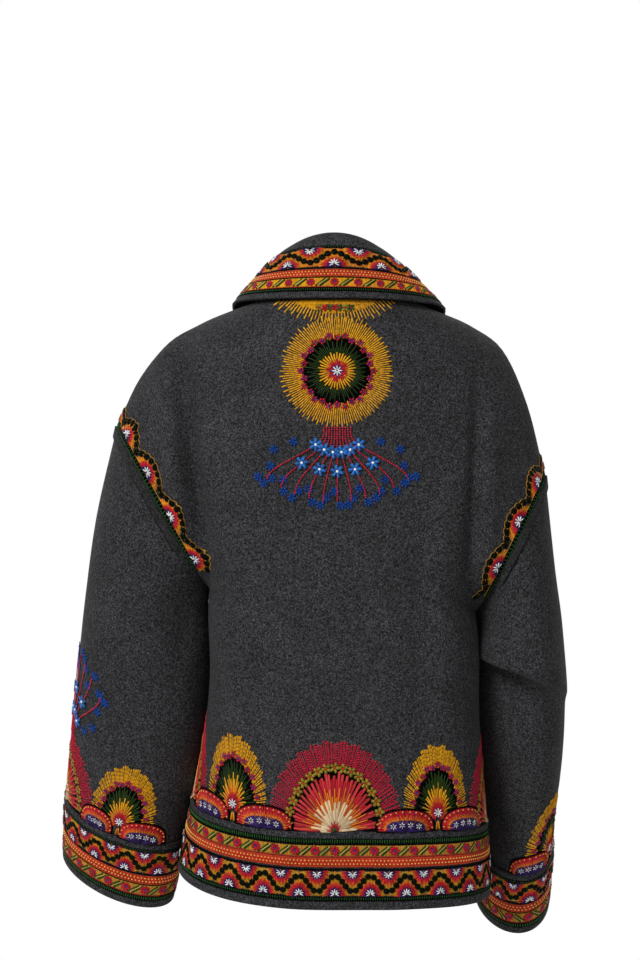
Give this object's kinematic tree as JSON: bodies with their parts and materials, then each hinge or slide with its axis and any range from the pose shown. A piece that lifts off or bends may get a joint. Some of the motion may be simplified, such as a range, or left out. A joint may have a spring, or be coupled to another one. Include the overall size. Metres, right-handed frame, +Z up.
{
  "type": "embroidered wool jacket",
  "caption": "Boxy felted wool jacket as worn, with a broad turned-down collar, dropped wide sleeves and embroidered bands at collar, cuffs and hem.",
  "frame": {"origin": "middle of the neck opening, level with the two points where the shoulder seams meet the collar", "axes": "+Z up, -Y the way the wearer faces, +X towards the wearer's left"},
  "size_m": [0.6263, 0.3551, 0.8589],
  "materials": {
    "wool": "thick felted melange wool in charcoal grey, matt with a short nap",
    "embroidered_band": "charcoal wool closely covered with lustrous embroidery thread in red, orange, yellow, green, purple and white",
    "binding": "plain charcoal wool strip with a sewn edge"
  },
  "bodies": {
    "root": {"back": "wool", "front_left": "wool", "front_right": "wool", "sleeve_left": "wool", "sleeve_right": "wool", "collar": "wool", "hem_band_back": "embroidered_band", "hem_band_front_left": "embroidered_band", "hem_band_front_right": "embroidered_band", "cuff_band_left": "embroidered_band", "cuff_band_right": "embroidered_band", "armhole_strip_left": "binding", "armhole_strip_right": "binding"}
  },
  "joints": []
}
